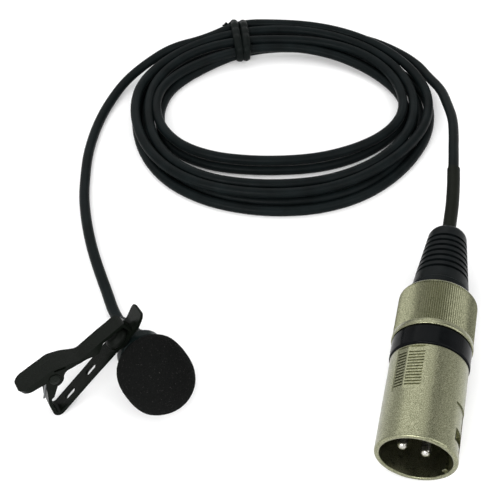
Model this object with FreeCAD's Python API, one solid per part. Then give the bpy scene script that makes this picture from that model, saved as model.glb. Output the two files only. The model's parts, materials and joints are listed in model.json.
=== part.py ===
import FreeCAD, Part
import math
import os
from FreeCAD import Placement, Rotation, Vector

# Lavalier microphone on a spring clip, with a foam windscreen, a long lead wound
# into a tied coil, and a three-pin plug. Millimetres, +Z up, the table is z = 0.
# The clip and the microphone lie on the table on the foam and on the clip's corner.

# Clip, seen in its own frame: X runs along the lower jaw to its tab, Y is square
# to that jaw, Z is the hinge direction, and the jaw's outer bend is at X = 0.
sheet = 0.8
ear_sheet = 0.7
bend_radius = 0.8
jaw_length = 29.2
tab_run = 3.9
tab_rise = 1.5
jaw_half_width = 2.45
tab_half_width = 2.9
wall_knee = (1.6, 4.9)
wall_top = (4.3, 7.6)
pivot = (8.3, 9.4)
ear_radius = 1.5
ear_side_gap = 0.25
slot_stations = (5.9, 13.7)
slot_length = 3.3
slot_width = 1.7

# Upper jaw: outline of its upper face from the pad to the nose.
pad_rear = (0.95, 14.08)
pad_front = (10.3, 11.5)
throat_rear = (13.1, 9.1)
throat_front = (15.4, 6.7)
arm_knee = (22.3, 5.5)
nose_reach = 28.3
nose_height = 4.2
nose_gap = 0.2
lever_sheet = 0.8
flange_sheet = 0.7
arm_half_width = 2.5
flange_depth = 1.3
flange_front_depth = 2.3
boss_radius = 2.3
pad_corner = 2.3
nose_teeth = 4
nose_tooth_depth = 0.5

# Hinge pin and torsion spring.
pin_radius = 0.75
pin_clearance = 0.03
pin_head_radius = 1.3
pin_head_height = 0.45
side_play = 0.1
spring_wire = 0.5
spring_radius = 1.25
spring_pitch = 1.0
spring_whole_turns = 2
spring_pad_reach = 5.7
spring_wall_reach = 6.1
spring_seat_gap = 0.1

# Microphone holder on the lower jaw, and how it sets the microphone.
mic_station = 24.0
mic_drop = 7.52
clip_offset = 1.5
holder_radius = 4.2
holder_back = -2.4
holder_front = 0.4
holder_foot_radius = 2.4
holder_foot = 0.9
holder_neck = 3.0
holder_clearance = 0.3
rivet_radius = 1.1
rivet_clearance = 0.05
rivet_head_radius = 3.1
rivet_head_height = 2.1
rivet_depth = 0.8

# Microphone, turned about its own axis. Stations run forward from the holder.
tube_radius = 3.2
tube_back = -9.0
tube_clearance = 0.05
collar_back = 0.65
collar_front = 3.4
collar_radius = 6.0
mic_head_radius = 4.0
mic_head_back = 9.0
mic_head_front = 13.0
mic_head_wall = 0.5
mic_lip = 0.6
mic_lip_wall = 1.0
mic_fit = 0.05
wire_bore = 2.3
capsule_radius = 3.0
capsule_back = 2.6
capsule_length = 5.0
capsule_port = 0.6
gasket_length = 0.8
gasket_bore = 1.8
grille_sheet = 0.5
grille_hole = 0.28
grille_rings = 3
grille_pitch = 0.85
board_width = 3.8
board_length = 5.0
board_sheet = 0.6
board_gap = 0.3
bushing_length = 4.0
bushing_stub = 2.5
bushing_back_radius = 1.8
bushing_front_radius = 2.8
bushing_grooves = 3

# Foam windscreen.
foam_radius = 9.75
foam_centre = 11.85
foam_mouth_gap = 0.35
foam_bore_clearance = 0.1
foam_end_gap = 0.4

# How the microphone lies: heading and rise of its axis, roll of the clip about it,
# and the height of the foam's centre, which the foam's small flat gives.
mic_heading = -47.5
mic_rise = 16.0
clip_roll = 33.6
foam_height = 9.6

# Cable, its coil and its tie.
cable_radius = 1.45
coil_centre = (6.5, 109.9)
coil_yaw = 13.9
coil_turns = 6
coil_side_reach = 47.9
coil_back_reach = 43.5
coil_middle = 4.0
coil_pitch = 3.4
coil_layer_rise = 3.4
coil_front_reach = (39.0, 35.2, 24.0, 25.2, 39.2, 42.6)
coil_front_layer = (1, 1, 1, 0, 0, 0)
coil_lead_in = 11.0
tie_station = -13.0
tie_thickness = 1.1
tie_width = 2.6
tie_step = 3.3
tie_gap = 0.25
tie_lift = 0.55
tie_turn = 12.0
tie_tail = 9.0
tie_tail_radius = 1.0
tie_tail_inset = 4.5
tie_back_play = 1.45
tie_front_play = 2.25
tie_floor = 0.05
tie_corner = 2.6

# Free stretches of the cable, from the foam's centre on the table.
mic_lead_down = 4.5
mic_lead_route = (
    (-23.2, 27.0, 1.45), (-27.4, 33.0, 1.45), (-31.4, 39.2, 1.45), (-35.4, 45.7, 1.45),
    (-39.1, 52.8, 1.45), (-42.4, 60.5, 1.45), (-45.2, 68.6, 1.45), (-47.4, 77.0, 1.45),
    (-49.1, 86.0, 1.45), (-49.8, 95.0, 1.5), (-49.4, 104.0, 1.9), (-47.3, 113.3, 2.8),
    (-43.4, 121.8, 4.1), (-36.5, 130.9, 5.5), (-28.7, 139.3, 6.1))
plug_lead_route = (
    (20.3, 155.9, 3.1), (29.4, 154.4, 2.6), (39.1, 149.1, 2.7), (45.6, 143.2, 3.3),
    (49.9, 137.3, 4.3), (54.4, 129.8, 5.8), (57.6, 121.7, 7.2), (59.8, 113.3, 8.5),
    (61.0, 105.4, 9.2), (61.8, 97.7, 9.8), (62.5, 90.5, 10.1), (63.25, 82.5, 10.1),
    (63.78, 74.0, 10.1))
sleeve_end_point = (62.66, 88.8, 10.1)

# Plug, turned about its own axis. Stations run back from the mouth.
plug_offset = 63.78
mouth_offset = -7.98
key_clock = 20.0
shell_radius = 9.5
shell_bore = 8.3
shell_length = 25.7
shell_step = 24.7
spigot_radius = 8.5
spigot_bore = 7.4
spigot_end = 38.0
ring_length = 5.6
ring_radius = 9.8
ring_fit = 0.02
nut_radius = 10.1
nut_end = 46.0
nut_front_gap = 0.1
nut_fit = 0.05
nut_lip = 1.8
nut_waist = 0.15
nut_knurls = 112
knurl_depth = 0.25
knurl_front = 33.0
knurl_margin = 1.0
boot_base_radius = 7.65
boot_fit = 0.15
boot_flange_radius = 8.25
boot_flange_length = 3.4
boot_step = 48.9
boot_step_height = 0.2
boot_shoulder_radius = 4.96
boot_end = 70.5
boot_dome = 2.55
boot_bore_gap = 0.35
boot_grooves = 7
boot_groove_first = 53.1
boot_groove_pitch = 2.05
boot_groove_width = 0.95
boot_groove_depth = 0.7
sleeve_wall = 0.35
sleeve_clearance = 0.05
sleeve_start = 69.5
tail_end = 73.0
insert_face = 15.0
insert_end = 31.0
insert_fit = 0.05
contact_radius = 1.2
contact_tip = 3.3
contact_circle = 4.0
contact_clock = 34.0
contact_shank_radius = 1.5
contact_dome = 0.95
contact_fit = 0.02
cup_radius = 1.4
cup_bore = 0.9
cup_length = 3.0
wire_radius = 0.45
wire_circle = 0.75
wire_length = 3.2
clamp_radius = 6.6
clamp_length = 7.0
clamp_wall = 2.6
clamp_taper = 2.2
clamp_gap = 0.3
clamp_slots = 4
window_station = 4.0
window_length = 3.2
window_width = 4.6
recess_station = 1.8
recess_length = 11.5
recess_width = 7.4
recess_depth = 0.3
key_rib_clock = -27.0
key_rib_width = 1.5
key_rib_height = 0.8
grip_lands = ((113.8, 27.6), (137.0, 18.8))
grip_end = 12.85
grip_sink = 0.08
grip_margin = 0.3
grip_station = 14.4
grip_ribs = 11
grip_pitch = 0.84
grip_slot = 0.4
grip_depth = 0.3

OVERCUT = 5.0
Z_AXIS = Vector(0, 0, 1)


# Outlines

def corner_arc(before, corner, after, radius):
    """Start, middle and end of the arc that rounds a corner between two runs."""
    back = (before - corner).normalize()
    ahead = (after - corner).normalize()
    half = back.getAngle(ahead) / 2
    bisector = (back + ahead).normalize()
    reach = radius / math.tan(half)
    middle = corner + bisector * (radius / math.sin(half) - radius)
    return corner + back * reach, middle, corner + ahead * reach


def rounded_outline(points, radii, closed=True):
    """Wire of straight runs joined by tangent arcs, with one radius per point."""
    points = [Vector(*point) for point in points]
    count = len(points)
    stations = []
    for index, point in enumerate(points):
        inner = closed or 0 < index < count - 1
        if inner and radii[index] > 0:
            after = points[(index + 1) % count]
            stations.append(corner_arc(points[index - 1], point, after, radii[index]))
        else:
            stations.append((point, None, point))
    edges = []
    last = count if closed else count - 1
    for index in range(count):
        start, middle, end = stations[index]
        if middle is not None:
            edges.append(Part.Arc(start, middle, end).toShape())
        if index < last:
            follow = stations[(index + 1) % count][0]
            if end.distanceToPoint(follow) > 1e-6:
                edges.append(Part.LineSegment(end, follow).toShape())
    return Part.Wire(edges)


def prism(points, radii, low, high):
    """Solid between two heights over a rounded outline in X and Y."""
    if not isinstance(radii, (list, tuple)):
        radii = [radii] * len(points)
    face = Part.Face(rounded_outline([(x, y, low) for x, y in points], radii))
    return face.extrude(Z_AXIS * (high - low))


def plan_prism(half_outline, radii, low, high):
    """Solid over an outline of X and half widths, symmetric about the clip's middle."""
    points = half_outline + [(x, -width) for x, width in reversed(half_outline)]
    solid = prism(points, radii + radii[::-1], low, high)
    solid.rotate(Vector(), Vector(1, 0, 0), -90)
    return solid


def turned(profile, radii=0.0):
    """Solid of revolution about Z from a closed outline of radius and station."""
    if not isinstance(radii, (list, tuple)):
        radii = [radii] * len(profile)
    face = Part.Face(rounded_outline([(r, 0, z) for r, z in profile], radii))
    return face.revolve(Vector(), Z_AXIS, 360)


def rod(radius, low, high, x=0.0, y=0.0):
    return Part.makeCylinder(radius, high - low, Vector(x, y, low))


def tube(outer, inner, low, high):
    return rod(outer, low, high).cut(rod(inner, low - OVERCUT, high + OVERCUT))


def bent_sheet(path, thickness, inner_radii, half_width):
    """Folded sheet: the path is its outer face and the metal lies to the path's left."""
    points = [Vector(x, y, 0) for x, y in path]
    headings = [(b - a).normalize() for a, b in zip(points, points[1:])]
    lefts = [Vector(-heading.y, heading.x, 0) for heading in headings]
    inner = [points[0] + lefts[0] * thickness]
    outer_side = [0.25]
    inner_side = [0.25]
    for index in range(1, len(points) - 1):
        before, after = lefts[index - 1], lefts[index]
        inner.append(points[index] + (before + after) * (thickness / (1 + before.dot(after))))
        turn = headings[index - 1].cross(headings[index]).z
        bend = inner_radii[index - 1]
        outer_side.append(bend + thickness if turn > 0 else bend)
        inner_side.append(bend if turn > 0 else bend + thickness)
    inner.append(points[-1] + lefts[-1] * thickness)
    outer_side.append(0.25)
    inner_side.append(0.25)
    outline = [(p.x, p.y) for p in points] + [(p.x, p.y) for p in reversed(inner)]
    return prism(outline, outer_side + inner_side[::-1], -half_width, half_width)


# Paths of wires and cables

def biarc(start, start_heading, end, end_heading):
    """Two tangent arcs from one point and heading to another."""
    chord = end - start
    total = start_heading + end_heading
    spread = 2 * (1 - start_heading.dot(end_heading))
    along = chord.dot(total)
    reach = (math.sqrt(along * along + spread * chord.dot(chord)) - along) / spread
    first = start + start_heading * reach
    second = end - end_heading * reach
    joint = (first + second) * 0.5
    edges = []
    for begin, corner, finish in ((start, first, joint), (joint, second, end)):
        half = (begin - corner).getAngle(finish - corner) / 2
        middle = corner_arc(begin, corner, finish, reach * math.tan(half))[1]
        edges.append(Part.Arc(begin, middle, finish).toShape())
    return edges


def route_radii(points):
    """Radius at each inner point of a route: as large as its two runs allow."""
    points = [Vector(*point) for point in points]
    radii = [0.0]
    for before, corner, after in zip(points, points[1:], points[2:]):
        turn = math.pi - (before - corner).getAngle(after - corner)
        shorter = min(before.distanceToPoint(corner), after.distanceToPoint(corner))
        radii.append(0.45 * shorter / math.tan(turn / 2))
    radii.append(0.0)
    return radii


def pipe(wire, radius, start, heading):
    """Round tube along a wire."""
    section = Part.Wire([Part.makeCircle(radius, start, heading)])
    solid = wire.makePipeShell([section], True, False)
    return solid.Solids[0] if solid.Solids else solid


def route_pipe(points, radius):
    wire = rounded_outline(points, route_radii(points), closed=False)
    start = Vector(*points[0])
    return pipe(wire, radius, start, Vector(*points[1]) - start), wire


# Clip

def make_lower_jaw():
    path = [wall_top, wall_knee, (-0.8, 0.0), (jaw_length, 0.0),
            (jaw_length + tab_run, tab_rise)]
    jaw = bent_sheet(path, sheet, [3.0, bend_radius, 2.5], tab_half_width + OVERCUT)
    end = jaw_length + tab_run
    plan = [(-2 * sheet, jaw_half_width), (mic_station / 2, jaw_half_width),
            (jaw_length, tab_half_width), (end, tab_half_width)]
    jaw = jaw.common(plan_prism(plan, [0.6, 20.0, 8.0, 1.7], -OVERCUT, 20))
    foot = [(2.2, 5.5), (pivot[0] - 1.5, pivot[1] + 1.25), (pivot[0] + 1.6, pivot[1] - 1.15), (4.1, 5.3)]
    for side in (-1, 1):
        low = min(side * jaw_half_width, side * (jaw_half_width - ear_sheet))
        ear = prism(foot, 0.2, low, low + ear_sheet)
        jaw = jaw.fuse(ear.fuse(rod(ear_radius, low, low + ear_sheet, *pivot)))
    holes = [rod(pin_radius + pin_clearance, -OVERCUT, OVERCUT, *pivot)]
    for station in slot_stations:
        half = slot_length / 2
        slot = [(station - half, slot_width / 2), (station + half, slot_width / 2)]
        holes.append(plan_prism(slot, [0.7, 0.7], -2, 2))
    hole = rod(rivet_radius + rivet_clearance, -2, 2, mic_station, 0)
    hole.rotate(Vector(mic_station, 0, 0), Vector(1, 0, 0), -90)
    return jaw.cut(holes + [hole]).removeSplitter()


def lever_path():
    """Upper face of the upper jaw, from the nose back to the pad."""
    return [(nose_reach, sheet + nose_gap), (nose_reach, nose_height), arm_knee,
            throat_front, throat_rear, pad_front, pad_rear]


def make_upper_jaw():
    bends = [0.6, 6.0, 2.4, 2.0, 2.4]
    skin = bent_sheet(lever_path(), lever_sheet, bends, pad_half_width() + OVERCUT)
    plan = [(pad_rear[0], pad_half_width()), (throat_rear[0] - 0.6, pad_half_width()),
            (throat_front[0] + 0.8, arm_half_width), (nose_reach, arm_half_width)]
    inset = flange_sheet
    hollow = [(pad_rear[0] + inset, plan[0][1] - inset), (plan[1][0] - 0.2, plan[1][1] - inset),
              (plan[2][0] - 0.2, plan[2][1] - inset), (nose_reach + OVERCUT, plan[3][1] - inset)]
    outer = plan_prism(plan, [pad_corner, 4.0, 4.0, 1.3], -1, 20)
    inner = plan_prism(hollow, [pad_corner - inset, 4.0, 4.0, 0.0], -1, 20)
    low = lever_sheet / 2
    web = [(pad_rear[0], pad_rear[1] - low), (pad_front[0] - 0.1, pad_front[1] - low),
           (throat_rear[0] - 0.3, throat_rear[1] - low), (throat_front[0] - 0.3, throat_front[1] - low),
           (arm_knee[0], arm_knee[1] - low), (18.6, arm_knee[1] - flange_front_depth + 0.5),
           (16.1, 5.5), (11.4, 8.6), (pivot[0] + 1.0, pivot[1] - 1.8), (pivot[0] - 1.9, pivot[1] + 0.9),
           (pad_rear[0], pad_rear[1] - flange_depth)]
    radii = [0, 0, 0, 0, 0, 0.8, 0.8, 2.0, 0, 0, 0]
    flanges = prism(web, radii, -OVERCUT, OVERCUT)
    flanges = flanges.fuse(rod(boss_radius, -OVERCUT, OVERCUT, *pivot))
    lever = skin.common(outer).fuse(flanges.common(outer).cut(inner))
    holes = [rod(pin_radius + pin_clearance, -OVERCUT, OVERCUT, *pivot)]
    slit = [(9.7, 10.75), (12.0, 9.05), (12.3, 9.5), (10.0, 11.15)]
    holes.append(prism(slit, 0.15, -OVERCUT, OVERCUT).cut(inner))
    step = 2 * arm_half_width / nose_teeth
    for tooth in range(nose_teeth):
        middle = -arm_half_width + (tooth + 0.5) * step
        edge = sheet + nose_gap
        notch = [(edge - 0.1, middle - step / 2 + 0.15), (edge + nose_tooth_depth, middle),
                 (edge - 0.1, middle + step / 2 - 0.15)]
        groove = prism(notch, 0.0, 0, 3 * lever_sheet)
        groove.rotate(Vector(), Vector(0, 1, 0), -90)
        groove.rotate(Vector(), Vector(1, 0, 0), 90)
        groove = groove.mirror(Vector(), Vector(0, 0, 1))
        low_point = Vector(nose_reach + lever_sheet, 0, 0)
        groove.translate(low_point)
        holes.append(groove)
    return lever.cut(holes).removeSplitter()


def pad_half_width():
    return jaw_half_width + ear_side_gap + flange_sheet


def make_hinge_pin():
    half = pad_half_width() + side_play
    shank = rod(pin_radius, -half, half, *pivot)
    head = turned([(0, 0), (pin_head_radius, 0), (pin_head_radius, 0.2),
                   (0.5, pin_head_height), (0, pin_head_height)], [0, 0, 0.1, 0.2, 0])
    for side in (0, 180):
        cap = head.copy()
        cap.translate(Vector(0, 0, half))
        cap.rotate(Vector(), Vector(1, 0, 0), side)
        cap.translate(Vector(*pivot))
        shank = shank.fuse(cap)
    return shank.removeSplitter()


def tangent_angle(target, side):
    """Where on the spring's coil a straight leg to a target leaves it."""
    reach = Vector(target[0] - pivot[0], target[1] - pivot[1], 0)
    heading = math.atan2(reach.y, reach.x)
    return heading + side * math.acos(spring_radius / reach.Length)


def make_torsion_spring():
    """Wire from under the pad, round the pin and down the outside of the rear wall."""
    slope = (pad_front[1] - pad_rear[1]) / (pad_front[0] - pad_rear[0])
    pad_x = pivot[0] - spring_pad_reach
    depth = lever_sheet * math.hypot(1, slope) + spring_wire / 2 + spring_seat_gap
    pad_end = (pad_x, pad_rear[1] + slope * (pad_x - pad_rear[0]) - depth)
    wall_end = (pivot[0] - spring_wall_reach, wall_knee[1] + 1.75)
    first = tangent_angle(pad_end, 1)
    last = tangent_angle(wall_end, -1)
    while last < first:
        last += 2 * math.pi
    sweep = last - first + 2 * math.pi * spring_whole_turns
    quarters = round(sweep / (math.pi / 2))
    rise = spring_pitch * sweep / (2 * math.pi)
    tilt = spring_pitch / (2 * math.pi * spring_radius)

    def knot(index):
        share = index / quarters
        angle = first + sweep * share
        spot = Vector(pivot[0] + spring_radius * math.cos(angle),
                      pivot[1] + spring_radius * math.sin(angle), rise * (share - 0.5))
        level = 0.0 if index in (0, quarters) else tilt
        return spot, Vector(-math.sin(angle), math.cos(angle), level).normalize()

    knots = [knot(index) for index in range(quarters + 1)]
    start = Vector(*pad_end, knots[0][0].z)
    end = Vector(*wall_end, knots[-1][0].z)
    edges = [Part.LineSegment(start, knots[0][0]).toShape()]
    for (here, heading), (there, there_heading) in zip(knots, knots[1:]):
        edges += biarc(here, heading, there, there_heading)
    edges.append(Part.LineSegment(knots[-1][0], end).toShape())
    wire = Part.Wire(edges)
    print("torsion spring least gap to itself", round(least_gap(wire, spring_wire / 2, 0.2), 2))
    return pipe(wire, spring_wire / 2, start, knots[0][0] - start)


def make_mic_holder():
    back, front = holder_back - clip_offset, holder_front - clip_offset
    top = -mic_drop + holder_radius
    ring = rod(holder_radius, back, front, mic_station, -mic_drop)
    foot = rod(holder_foot_radius, -holder_foot, 0)
    foot.rotate(Vector(), Vector(1, 0, 0), -90)
    foot.translate(Vector(mic_station, 0, 0))
    inset = holder_foot_radius - 0.3
    side = [(inset, -0.2), (inset, -holder_foot), (front, collar_radius + holder_clearance - mic_drop),
            (front, top - 0.6), (back, top - 0.6), (back, top + 0.6), (-inset, -holder_foot), (-inset, -0.2)]
    bends = [0, 0.3, 0.3, 0, 0, 0.5, 0.5, 0]
    neck = prism([(-z, y) for z, y in side], bends, -holder_neck / 2, holder_neck / 2)
    neck.rotate(Vector(), Vector(0, 1, 0), 90)
    neck.translate(Vector(mic_station, 0, 0))
    holder = ring.fuse([foot, neck])
    bore = rod(tube_radius + tube_clearance, back - 1, front + 1, mic_station, -mic_drop)
    blind = rod(rivet_radius + rivet_clearance, -rivet_depth, OVERCUT)
    blind.rotate(Vector(), Vector(1, 0, 0), -90)
    blind.translate(Vector(mic_station, 0, 0))
    return holder.cut([bore, blind]).removeSplitter()


def make_holder_rivet():
    rim = rivet_head_radius
    profile = [(0, -rivet_depth), (rivet_radius, -rivet_depth), (rivet_radius, sheet),
               (rim, sheet), (rim, sheet + 0.5 * rivet_head_height),
               (0.6 * rim, sheet + rivet_head_height), (0, sheet + rivet_head_height)]
    rivet = turned(profile, [0, 0.2, 0, 0.3, 0.8, 1.0, 0])
    rivet.rotate(Vector(), Vector(1, 0, 0), -90)
    rivet.translate(Vector(mic_station, 0, 0))
    return rivet


# Microphone

def make_mic_body():
    seat = capsule_radius + mic_fit
    spigot = mic_head_radius - mic_head_wall - mic_fit
    spigot_front = mic_head_front - mic_lip - grille_sheet - mic_fit
    profile = [(wire_bore, tube_back), (tube_radius, tube_back), (tube_radius, collar_back),
               (collar_radius, collar_back), (collar_radius, collar_front),
               (mic_head_radius - 0.15, collar_front), (mic_head_radius - 0.15, mic_head_back),
               (spigot, mic_head_back), (spigot, spigot_front), (seat, spigot_front),
               (seat, capsule_back), (wire_bore, capsule_back)]
    return turned(profile, [0, 0.3, 0, 0.3, 0.5, 0, 0, 0, 0, 0, 0, 0])


def make_mic_head():
    bore = mic_head_radius - mic_head_wall
    lip = mic_head_radius - mic_lip_wall
    seat = mic_head_front - mic_lip
    profile = [(bore, mic_head_back), (mic_head_radius, mic_head_back),
               (mic_head_radius, mic_head_front), (lip, mic_head_front), (lip, seat), (bore, seat)]
    return turned(profile, [0, 0.1, 0.4, 0.1, 0, 0])


def make_capsule():
    front = capsule_back + capsule_length
    body = turned([(0, capsule_back), (capsule_radius, capsule_back), (capsule_radius, front), (0, front)],
                  [0, 0.2, 0.3, 0])
    port = rod(capsule_port, front - 0.4, front + 1)
    rim = tube(capsule_radius - 0.5, capsule_radius - 0.8, front - 0.25, front + 1)
    return body.cut([port, rim])


def make_capsule_gasket():
    back = capsule_back + capsule_length
    return tube(capsule_radius, gasket_bore, back, back + gasket_length)


def make_grille_cap():
    back = mic_head_front - mic_lip - grille_sheet
    disc = rod(mic_head_radius - mic_head_wall - mic_fit, back, back + grille_sheet - mic_fit)
    holes = [rod(grille_hole, back - 1, back + 1)]
    for ring in range(1, grille_rings + 1):
        for place in range(6 * ring):
            angle = 2 * math.pi * place / (6 * ring)
            x = ring * grille_pitch * math.cos(angle)
            y = ring * grille_pitch * math.sin(angle)
            holes.append(rod(grille_hole, back - 1, back + 1, x, y))
    return disc.cut(holes)


def make_circuit_board():
    front = capsule_back - board_gap
    board = Part.makeBox(board_width, board_sheet, board_length,
                         Vector(-board_width / 2, -board_sheet / 2, front - board_length))
    chip = Part.makeBox(1.4, 0.5, 1.6, Vector(-0.7, board_sheet / 2, front - 3.4))
    return board.fuse(chip)


def make_cable_bushing():
    back = tube_back - bushing_length
    profile = [(0, back), (bushing_back_radius, back), (bushing_front_radius, tube_back),
               (wire_bore - mic_fit, tube_back), (wire_bore - mic_fit, tube_back + bushing_stub),
               (0, tube_back + bushing_stub)]
    bushing = turned(profile, [0, 0.3, 0.3, 0, 0.2, 0])
    grooves = []
    for index in range(bushing_grooves):
        station = back + 0.8 + index * 0.9
        grooves.append(tube(bushing_front_radius, bushing_back_radius * 0.86 + index * 0.18,
                            station, station + 0.4))
    return bushing.cut(grooves)


def make_foam():
    mouth = collar_front + foam_mouth_gap
    bore = mic_head_radius + foam_bore_clearance
    rim = math.sqrt(foam_radius ** 2 - (foam_centre - mouth) ** 2)
    deep = mic_head_front + foam_end_gap
    edges = [
        Part.LineSegment(Vector(bore, 0, mouth), Vector(rim, 0, mouth)),
        Part.Arc(Vector(rim, 0, mouth), Vector(foam_radius, 0, foam_centre),
                 Vector(0, 0, foam_centre + foam_radius)),
        Part.LineSegment(Vector(0, 0, foam_centre + foam_radius), Vector(0, 0, deep)),
        Part.LineSegment(Vector(0, 0, deep), Vector(bore, 0, deep)),
        Part.LineSegment(Vector(bore, 0, deep), Vector(bore, 0, mouth))]
    face = Part.Face(Part.Wire([edge.toShape() for edge in edges]))
    return face.revolve(Vector(), Z_AXIS, 360)


# Cable

def least_gap(wire, radius, step):
    """Least distance between the surfaces of two stretches of one tube, on points."""
    points = wire.discretize(Distance=step)
    skip = int(8 * radius / step) + 1
    best = 1e9
    cell = 4 * radius + step
    cells = {}
    for index, point in enumerate(points):
        key = (int(point.x // cell), int(point.y // cell))
        for dx in (-1, 0, 1):
            for dy in (-1, 0, 1):
                for other in cells.get((key[0] + dx, key[1] + dy), ()):
                    if index - other > skip:
                        best = min(best, point.distanceToPoint(points[other]))
        cells.setdefault(key, []).append(index)
    return best - 2 * radius


def coil_knot(quarter):
    """Point and heading of the coil after so many quarter turns, in its own frame."""
    turn = quarter / 4
    lane = min(turn, coil_turns - turn) * coil_pitch
    if turn < coil_turns / 2:
        layer = 1.0
    elif turn > coil_turns / 2:
        layer = 0.0
    else:
        layer = 0.5
    side = quarter % 4
    if side == 0:
        height = cable_radius + tie_thickness + tie_lift + layer * coil_layer_rise
        return Vector(0, coil_back_reach - lane, height), Vector(1, 0, 0)
    if side == 2:
        row = quarter // 4
        height = cable_radius + coil_front_layer[row] * coil_layer_rise
        return Vector(0, -coil_front_reach[row], height), Vector(-1, 0, 0)
    height = cable_radius + layer * coil_layer_rise
    reach = coil_side_reach - lane
    if side == 1:
        return Vector(reach, coil_middle, height), Vector(0, -1, 0)
    return Vector(-reach, coil_middle, height), Vector(0, 1, 0)


def make_coil():
    """The wound cable, with its ends straight, and the points where the ends stop."""
    knots = [coil_knot(quarter) for quarter in range(4 * coil_turns + 1)]
    straight = 2 * cable_radius
    start = knots[0][0] - knots[0][1] * straight
    end = knots[-1][0] + knots[-1][1] * straight
    edges = [Part.LineSegment(start, knots[0][0]).toShape()]
    for (here, heading), (there, there_heading) in zip(knots, knots[1:]):
        edges += biarc(here, heading, there, there_heading)
    edges.append(Part.LineSegment(knots[-1][0], end).toShape())
    wire = Part.Wire(edges)
    print("coil least gap to itself", round(least_gap(wire, cable_radius, 0.8), 2))
    print("coil cable length", round(wire.Length, 1))
    return pipe(wire, cable_radius, start, knots[0][1]), wire, start, end


def make_tie():
    """Two flat wraps round the back of the coil, and their twisted end."""
    strands = coil_turns // 2
    outer = coil_back_reach + cable_radius + tie_back_play
    inner = coil_back_reach - strands * coil_pitch - cable_radius - tie_front_play
    low = tie_floor
    top = 2 * cable_radius + tie_thickness + tie_lift + coil_layer_rise + 2 * tie_gap
    hole = [(inner, low + tie_thickness), (outer, low + tie_thickness), (outer, top), (inner, top)]
    rim = [(inner - tie_thickness, low), (outer + tie_thickness, low),
           (outer + tie_thickness, top + tie_thickness), (inner - tie_thickness, top + tie_thickness)]
    wraps = []
    for index in range(2):
        wrap = prism(rim, tie_corner, 0, tie_width)
        wrap = wrap.cut(prism(hole, tie_corner - tie_thickness, -1, tie_width + 1))
        wrap.rotate(Vector(), Vector(1, 1, 1), 120)
        wrap.translate(Vector(tie_station + (index - 1) * tie_step, 0, 0))
        wraps.append(wrap)
    reach = tie_tail + tie_step
    level = top + tie_thickness + tie_tail_radius / 2
    tail = turned([(0, 0), (tie_tail_radius, 0), (tie_tail_radius, reach), (0, reach)], [0, 0.4, 0.4, 0])
    tail.rotate(Vector(), Vector(0, 1, 0), -90)
    tail.translate(Vector(tie_station + tie_width / 2, outer - tie_tail_inset, level))
    tie = wraps[0].fuse([wraps[1], tail])
    tie.rotate(Vector(tie_station, coil_back_reach, 0), Z_AXIS, tie_turn)
    return tie


# Plug

def clock(radius, degrees, station):
    """Point in the plug's frame at a clock angle seen from the mouth, from +X to up."""
    angle = math.radians(degrees)
    return Vector(radius * math.cos(angle), -radius * math.sin(angle), station)


def radial_block(degrees, inner, outer, width, low, high):
    """Block across the wall at a clock angle."""
    block = Part.makeBox(outer - inner, width, high - low, Vector(inner, -width / 2, low))
    block.rotate(Vector(), Z_AXIS, -degrees)
    return block


def make_plug_shell():
    profile = [(shell_bore, 0), (shell_radius, 0), (shell_radius, shell_length),
               (spigot_radius, shell_length), (spigot_radius, spigot_end), (spigot_bore, spigot_end),
               (spigot_bore, shell_step), (shell_bore, shell_step)]
    shell = turned(profile, [0.3, 0.5, 0.4, 0, 0.3, 0, 0, 0])
    rib = radial_block(key_rib_clock, shell_bore - key_rib_height, shell_bore + 0.4, key_rib_width,
                       0.8, insert_face - 1.0)
    shell = shell.fuse(rib)
    cuts = [radial_block(key_clock, shell_bore - 1, shell_radius + 1, window_width,
                         window_station, window_station + window_length)]
    recess = radial_block(key_clock, shell_radius - recess_depth - 1, shell_radius + 1, recess_width,
                          recess_station, recess_station + recess_length)
    cuts.append(recess.cut(rod(shell_radius - recess_depth, 0, shell_length)))
    for degrees, spread in grip_lands:
        half = math.radians(spread / 2)
        floor = shell_radius * math.cos(half) - grip_sink
        width = 2 * shell_radius * math.sin(half)
        cuts.append(radial_block(degrees, floor, shell_radius + 1, width, grip_end, shell_length - 0.6))
        for index in range(grip_ribs + 1):
            low = grip_station + index * grip_pitch - grip_slot
            cuts.append(radial_block(degrees, floor - grip_depth, shell_radius + 1, width - 2 * grip_margin,
                                     low, low + grip_slot))
    return shell.cut(cuts).removeSplitter()


def make_insulating_ring():
    back = shell_length + ring_length
    profile = [(spigot_radius + ring_fit, shell_length), (ring_radius, shell_length), (ring_radius, back),
               (spigot_radius + ring_fit, back)]
    return turned(profile, [0, 0.5, 0.5, 0])


def nut_front():
    return shell_length + ring_length + nut_front_gap


def make_back_nut():
    """Knurled collar that screws on behind the ring and holds the boot's flange."""
    front = nut_front()
    bore = spigot_radius + nut_fit
    lip_bore = boot_base_radius + boot_fit
    lip = nut_end - nut_lip
    body = nut_radius - nut_waist
    profile = [(bore, front), (nut_radius, front), (nut_radius, knurl_front - 0.7), (body, knurl_front),
               (body, nut_end), (lip_bore, nut_end), (lip_bore, lip), (bore, lip)]
    nut = turned(profile, [0, 0.3, 0.4, 0.4, 1.2, 0.2, 0, 0])
    star = []
    for index in range(2 * nut_knurls):
        angle = math.pi * index / nut_knurls
        reach = body if index % 2 == 0 else body - knurl_depth
        star.append((reach * math.cos(angle), reach * math.sin(angle)))
    band_end = nut_end - knurl_margin
    knurl = prism(star, 0, knurl_front, band_end)
    band = rod(nut_radius + 1, knurl_front, band_end).cut(knurl)
    return nut.cut(band)


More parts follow.
